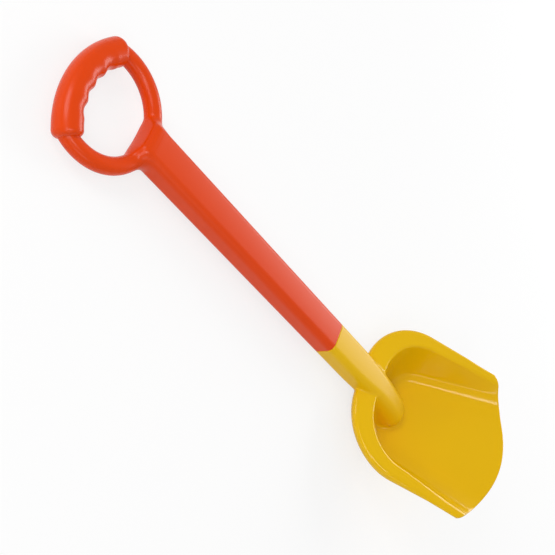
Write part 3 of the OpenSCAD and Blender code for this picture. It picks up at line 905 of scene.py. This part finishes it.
# %% A white floor with a shadow
FLOOR_HALF, FLOOR_GREY, OWN_WHITE = 6, 0.93, 0.75
floor_mesh = bpy.data.meshes.new("floor")
floor_mesh.from_pydata([(x * FLOOR_HALF, y * FLOOR_HALF, 0)
                        for x, y in ((-1, -1), (1, -1), (1, 1), (-1, 1))], [], [(0, 1, 2, 3)])
floor = bpy.data.objects.new("floor", floor_mesh)
bpy.context.scene.collection.objects.link(floor)
floor_white = bpy.data.materials.new("floor_white")
floor_white.use_nodes = True
floor_white.node_tree.nodes.clear()
t = Tree(floor_white.node_tree)
ray = t.node("ShaderNodeLightPath").outputs
shown = t.math("MAXIMUM", ray["Is Glossy Ray"], ray["Is Transmission Ray"])
shown = t.math("MAXIMUM", ray["Is Camera Ray"], shown)
matt = t.node("ShaderNodeBsdfDiffuse", {"Color": (*[FLOOR_GREY] * 3, 1)}).outputs[0]
lit = t.node("ShaderNodeEmission", {"Color": (1, 1, 1, 1), "Strength": 1.0}).outputs[0]
mixed = t.node("ShaderNodeMixShader", {0: t.math("MULTIPLY", shown, OWN_WHITE), 1: matt, 2: lit})
t.node("ShaderNodeOutputMaterial", {"Surface": mixed.outputs[0]})
floor_mesh.materials.append(floor_white)
print("floor:", 2 * FLOOR_HALF, "m wide")

# %% [markdown]
# ## Lamps
# Streaks on glossy plastic are pictures of lamps. Three large soft boxes light the ring, the
# far side and the grip. Two narrow strips lie where the bends of the bowl's side walls
# mirror them towards the camera. They take no part in the plain lighting and draw only the
# thin streaks. A lamp's level is how bright it makes a white sheet that faces it from the
# shovel's place, so it can be made larger or moved without a change in the light.

# %% Soft boxes and strips
LAMP_DISTANCE = 1.6
SHOVEL_MIDDLE, BOWL_MIDDLE, RING_MIDDLE = (0, 0, 0.03), (0.19, 0, 0.04), (-0.24, 0, 0.02)
ALONG_WALL = (0.86, 0.29, 0.42)


def soft_lamp(name, direction, along, width, height, level, aim):
    data = bpy.data.lights.new(name, "AREA")
    data.shape, data.size, data.size_y = "RECTANGLE", width, height
    data.energy = level * math.pi ** 2 * LAMP_DISTANCE ** 2
    lamp = bpy.data.objects.new(name, data)
    bpy.context.scene.collection.objects.link(lamp)
    out = Vector(direction).normalized()
    side = (Vector(along) - out * out.dot(Vector(along))).normalized()
    lamp.matrix_world = Matrix.Translation(Vector(aim) + out * LAMP_DISTANCE) @ Matrix(
        (side, out.cross(side), out)).transposed().to_4x4()
    return lamp


soft_lamp("ring_softbox", (-0.35, -0.60, 0.72), (-0.75, 0.65, 0.35), 1.4, 0.4, 0.34, RING_MIDDLE)
soft_lamp("far_softbox", (0.64, 0.64, 0.42), (-1, 1, 0), 1.0, 0.72, 0.46, SHOVEL_MIDDLE)
soft_lamp("grip_softbox", (-0.84, 0.07, 0.54), (0, 1, 0), 0.62, 0.66, 0.32, RING_MIDDLE)
strips = [
    soft_lamp("wall_strip", (-0.25, -0.48, 0.84), ALONG_WALL, 0.75, 0.24, 0.25, BOWL_MIDDLE),
    soft_lamp("low_strip", (0.13, -0.84, 0.52), ALONG_WALL, 0.75, 0.16, 0.08, BOWL_MIDDLE)]
for strip in strips:
    strip.visible_diffuse = False

# %% [markdown]
# ## The room's light
# An even white world stands for the pale walls of a studio. It fills the shadows, and it is
# what the plastic mirrors where no lamp stands.

# %% World
WORLD_LEVEL = 0.50
world = bpy.data.worlds.new("studio")
bpy.context.scene.world = world
world.use_nodes = True
sky = world.node_tree.nodes["Background"].inputs
sky["Color"].default_value = (1, 1, 1, 1)
sky["Strength"].default_value = WORLD_LEVEL
print("world level", WORLD_LEVEL)

# %% [markdown]
# ## Camera
# The camera looks down from behind the ring and a little to one side. Its place and its
# three directions were worked out along the shaft's axes, so they are turned to rest as the
# points are. The view transform is Standard, in which a colour renders about as written.

# %% Camera and view
def turned(direction):
    c, s = math.cos(REST_TILT), math.sin(REST_TILT)
    x, y, z = direction
    return Vector((x * c - z * s, y, x * s + z * c))


camera_data = bpy.data.cameras.new("camera")
camera_data.sensor_width, camera_data.lens = 36, 61.163
camera = bpy.data.objects.new("camera", camera_data)
bpy.context.scene.collection.objects.link(camera)
right = turned((0.55898, 0.33639, 0.75788))
down = turned((0.59762, -0.79705, -0.08700))
ahead = turned((0.57480, 0.50155, -0.64657))
camera.matrix_world = Matrix.Translation(at_rest([-525.904, -384.104, 500.187])) @ Matrix(
    (right, -down, -ahead)).transposed().to_4x4()
bpy.context.scene.camera = camera
bpy.context.scene.view_settings.view_transform = "Standard"
print("camera at", [round(c, 3) for c in camera.location])
